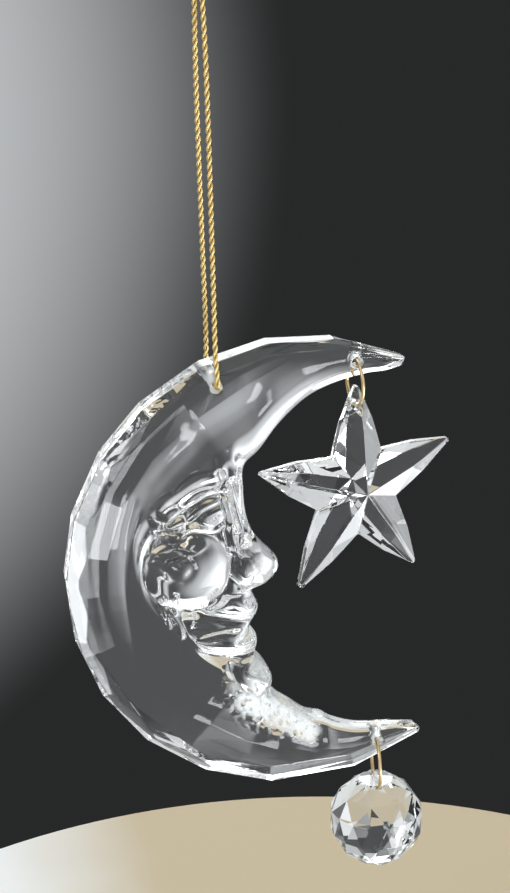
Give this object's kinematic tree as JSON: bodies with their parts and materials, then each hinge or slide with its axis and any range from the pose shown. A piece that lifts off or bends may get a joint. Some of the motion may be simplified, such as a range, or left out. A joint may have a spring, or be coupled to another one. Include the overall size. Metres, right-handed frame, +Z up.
{
  "type": "hanging moon ornament",
  "caption": "Clear acrylic crescent moon with a face in relief, hanging from a gold cord, with a faceted star and a faceted ball hung from its horns on wire rings.",
  "frame": {"origin": "where the cord loop hangs, just under its knot, straight above the cord's hole in the moon's rim", "axes": "+X to the right of the hanging ornament seen from its front, +Y to its back, +Z up along the cord"},
  "size_m": [0.0794, 0.0194, 0.1882],
  "materials": {
    "clear_acrylic": "polished",
    "cut_acrylic": "polished",
    "brass_wire": "satin",
    "gold_thread": "satin"
  },
  "bodies": {
    "hanging_cord": {"cord": "gold_thread", "cord_knot": "gold_thread"},
    "crescent": {"moon": "clear_acrylic"},
    "star_link": {"star_ring": "brass_wire"},
    "hung_star": {"star": "cut_acrylic"},
    "ball_link": {"ball_ring": "brass_wire"},
    "hung_ball": {"faceted_ball": "cut_acrylic"}
  },
  "joints": [
    {"name": "moon_swing", "type": "hinge", "parent": "hanging_cord", "child": "crescent", "pos_m": [0, 0, -0.073], "axis": [0, 1, 0], "range_deg": [-30, 30]},
    {"name": "star_ring_swing", "type": "hinge", "parent": "crescent", "child": "star_link", "pos_m": [0.0282, 0, -0.07109], "axis": [0, 1, 0], "range_deg": [-50, 2]},
    {"name": "star_slide", "type": "hinge", "parent": "star_link", "child": "hung_star", "pos_m": [0.0282, 0, -0.07556], "axis": [0.9954, 0.0958, 0], "range_deg": [-30, 30]},
    {"name": "ball_ring_swing", "type": "hinge", "parent": "crescent", "child": "ball_link", "pos_m": [0.03192, 0, -0.15263], "axis": [0, 1, 0], "range_deg": [-80, 30]},
    {"name": "ball_slide", "type": "hinge", "parent": "ball_link", "child": "hung_ball", "pos_m": [0.03192, 0, -0.15839], "axis": [0.9945, -0.1045, 0], "range_deg": [-30, 30]}
  ]
}
